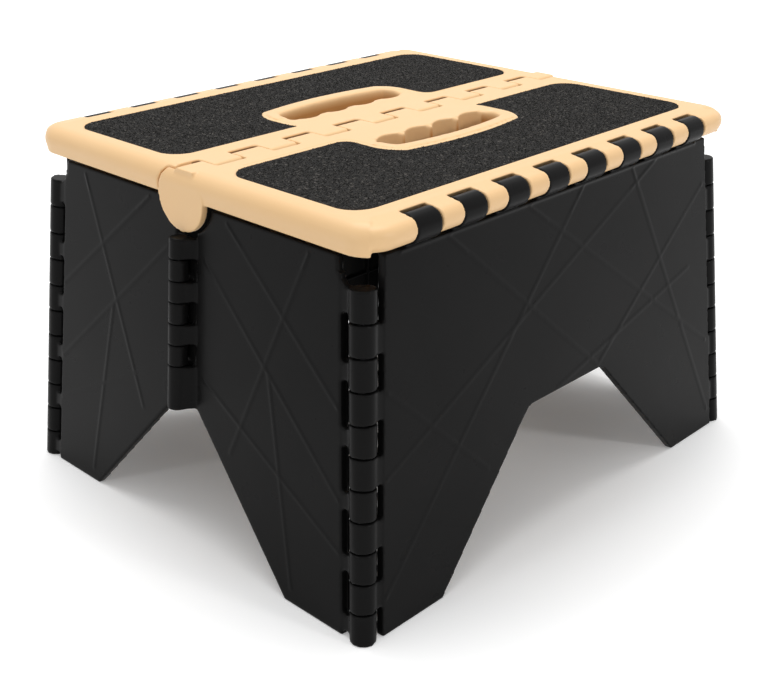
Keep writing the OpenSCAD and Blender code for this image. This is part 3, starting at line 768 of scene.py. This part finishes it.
def floor_material():
    """A pale floor whose glow only looking rays see; the glow is kept low near the stool as a
    painted shadow.
    """
    material, tree, shader = new_material("studio_floor")
    coords = object_coords(tree)
    noise = texture(tree, "ShaderNodeTexNoise", coords, (-650, 0), {"Scale": 3.0})
    tone = map_range(tree, noise.outputs["Fac"], (-350, 0), {"To Min": 0.93, "To Max": 0.96})
    tree.links.new(tone.outputs["Result"], shader.inputs["Base Color"])
    fill(shader, {"Roughness": 0.9, "Specular IOR Level": 0.1,
                  "Emission Color": (1, 1, 1, 1)})
    reach = add_node(tree, "ShaderNodeVectorMath", (-850, -650), operation="LENGTH")
    tree.links.new(coords, reach.inputs[0])
    # Painted shadow: the glow stays low round the stool, so the floor under it looks darker.
    ramps = [map_range(tree, reach.outputs["Value"], (-600, -650), limits, "SMOOTHSTEP")
             for limits in FLOOR_GLOW]
    glow = math_value(tree, "ADD", (-200, -700), *[ramp.outputs["Result"] for ramp in ramps])
    seen = math_value(tree, "MULTIPLY", (0, -350), looking_rays(tree, -850, -350), glow)
    tree.links.new(seen, shader.inputs["Emission Strength"])
    return material


def make_floor():
    """A wide flat floor under the stool."""
    mesh = bpy.data.meshes.new("floor")
    work = bmesh.new()
    bmesh.ops.create_grid(work, x_segments=4, y_segments=4, size=FLOOR_SIZE)
    work.to_mesh(mesh)
    work.free()
    floor = linked_object("floor", mesh)
    wear(floor, floor_material())


def make_world(scene):
    """A white world that is dimmer as a light than it looks."""
    world = bpy.data.worlds.new("studio")
    scene.world = world
    world.use_nodes = True
    tree = world.node_tree
    tree.nodes.clear()
    mix = add_node(tree, "ShaderNodeMixShader", (450, 0))
    tree.links.new(looking_rays(tree, -200, 300), mix.inputs["Fac"])
    for index, strength in ((1, SKY_STRENGTH), (2, 1.0)):
        sky = add_node(tree, "ShaderNodeBackground", (200, -100 * index))
        fill(sky, {"Color": (1, 1, 1, 1), "Strength": strength})
        tree.links.new(sky.outputs["Background"], mix.inputs[index])
    out = add_node(tree, "ShaderNodeOutputWorld", (650, 0))
    tree.links.new(mix.outputs["Shader"], out.inputs["Surface"])


def make_camera(scene):
    """The camera that was fitted to the photograph."""
    data = bpy.data.cameras.new("camera")
    data.sensor_width = 36.0
    data.lens = CAMERA_LENS
    data.clip_start = 0.01
    camera = linked_object("camera", data)
    ahead = Vector((math.cos(CAMERA_PITCH) * math.sin(CAMERA_YAW),
                    math.cos(CAMERA_PITCH) * math.cos(CAMERA_YAW),
                    -math.sin(CAMERA_PITCH)))
    level = Vector((math.cos(CAMERA_YAW), -math.sin(CAMERA_YAW), 0.0))
    above = level.cross(ahead)
    right = math.cos(CAMERA_ROLL) * level + math.sin(CAMERA_ROLL) * above
    above = -math.sin(CAMERA_ROLL) * level + math.cos(CAMERA_ROLL) * above
    turn = Matrix((right, above, -ahead)).transposed().to_4x4()
    camera.matrix_world = Matrix.Translation(CAMERA_SPOT) @ turn
    scene.camera = camera


class STOOL_OT_stage(bpy.types.Operator):
    """Makes the floor, the lamps, the world and the camera."""
    bl_idname = "stool.stage"
    bl_label = "Stage"

    def execute(self, context):
        scene = context.scene
        scene.view_settings.view_transform = "Standard"
        make_floor()
        make_world(scene)
        for name, settings in LAMPS.items():
            soft_lamp(name, *settings)
        make_camera(scene)
        return {"FINISHED"}


class STOOL_PT_sidebar(bpy.types.Panel):
    """Lists the stool's sizes, colours and building steps."""
    bl_label = "Folding step stool"
    bl_space_type = "VIEW_3D"
    bl_region_type = "UI"
    bl_category = "Stool"

    def draw(self, context):
        for group in (context.scene.stool_sizes, context.scene.stool_colours):
            box = self.layout.box()
            for key in group.__annotations__:
                box.prop(group, key)
        for step in STEPS:
            self.layout.operator(step.bl_idname)


STEPS = (STOOL_OT_stage, STOOL_OT_pins, STOOL_OT_panels, STOOL_OT_treads, STOOL_OT_grit)
CLASSES = (StoolSizes, StoolColours, *STEPS, STOOL_PT_sidebar)


def register():
    for cls in CLASSES:
        bpy.utils.register_class(cls)
    bpy.types.Scene.stool_sizes = bpy.props.PointerProperty(type=StoolSizes)
    bpy.types.Scene.stool_colours = bpy.props.PointerProperty(type=StoolColours)


def unregister():
    del bpy.types.Scene.stool_colours
    del bpy.types.Scene.stool_sizes
    for cls in reversed(CLASSES):
        bpy.utils.unregister_class(cls)


def main():
    register()
    bpy.ops.stool.stage()
    bpy.ops.stool.pins()
    bpy.ops.stool.panels()
    bpy.ops.stool.treads()
    bpy.ops.stool.grit()


if __name__ == "__main__":
    main()
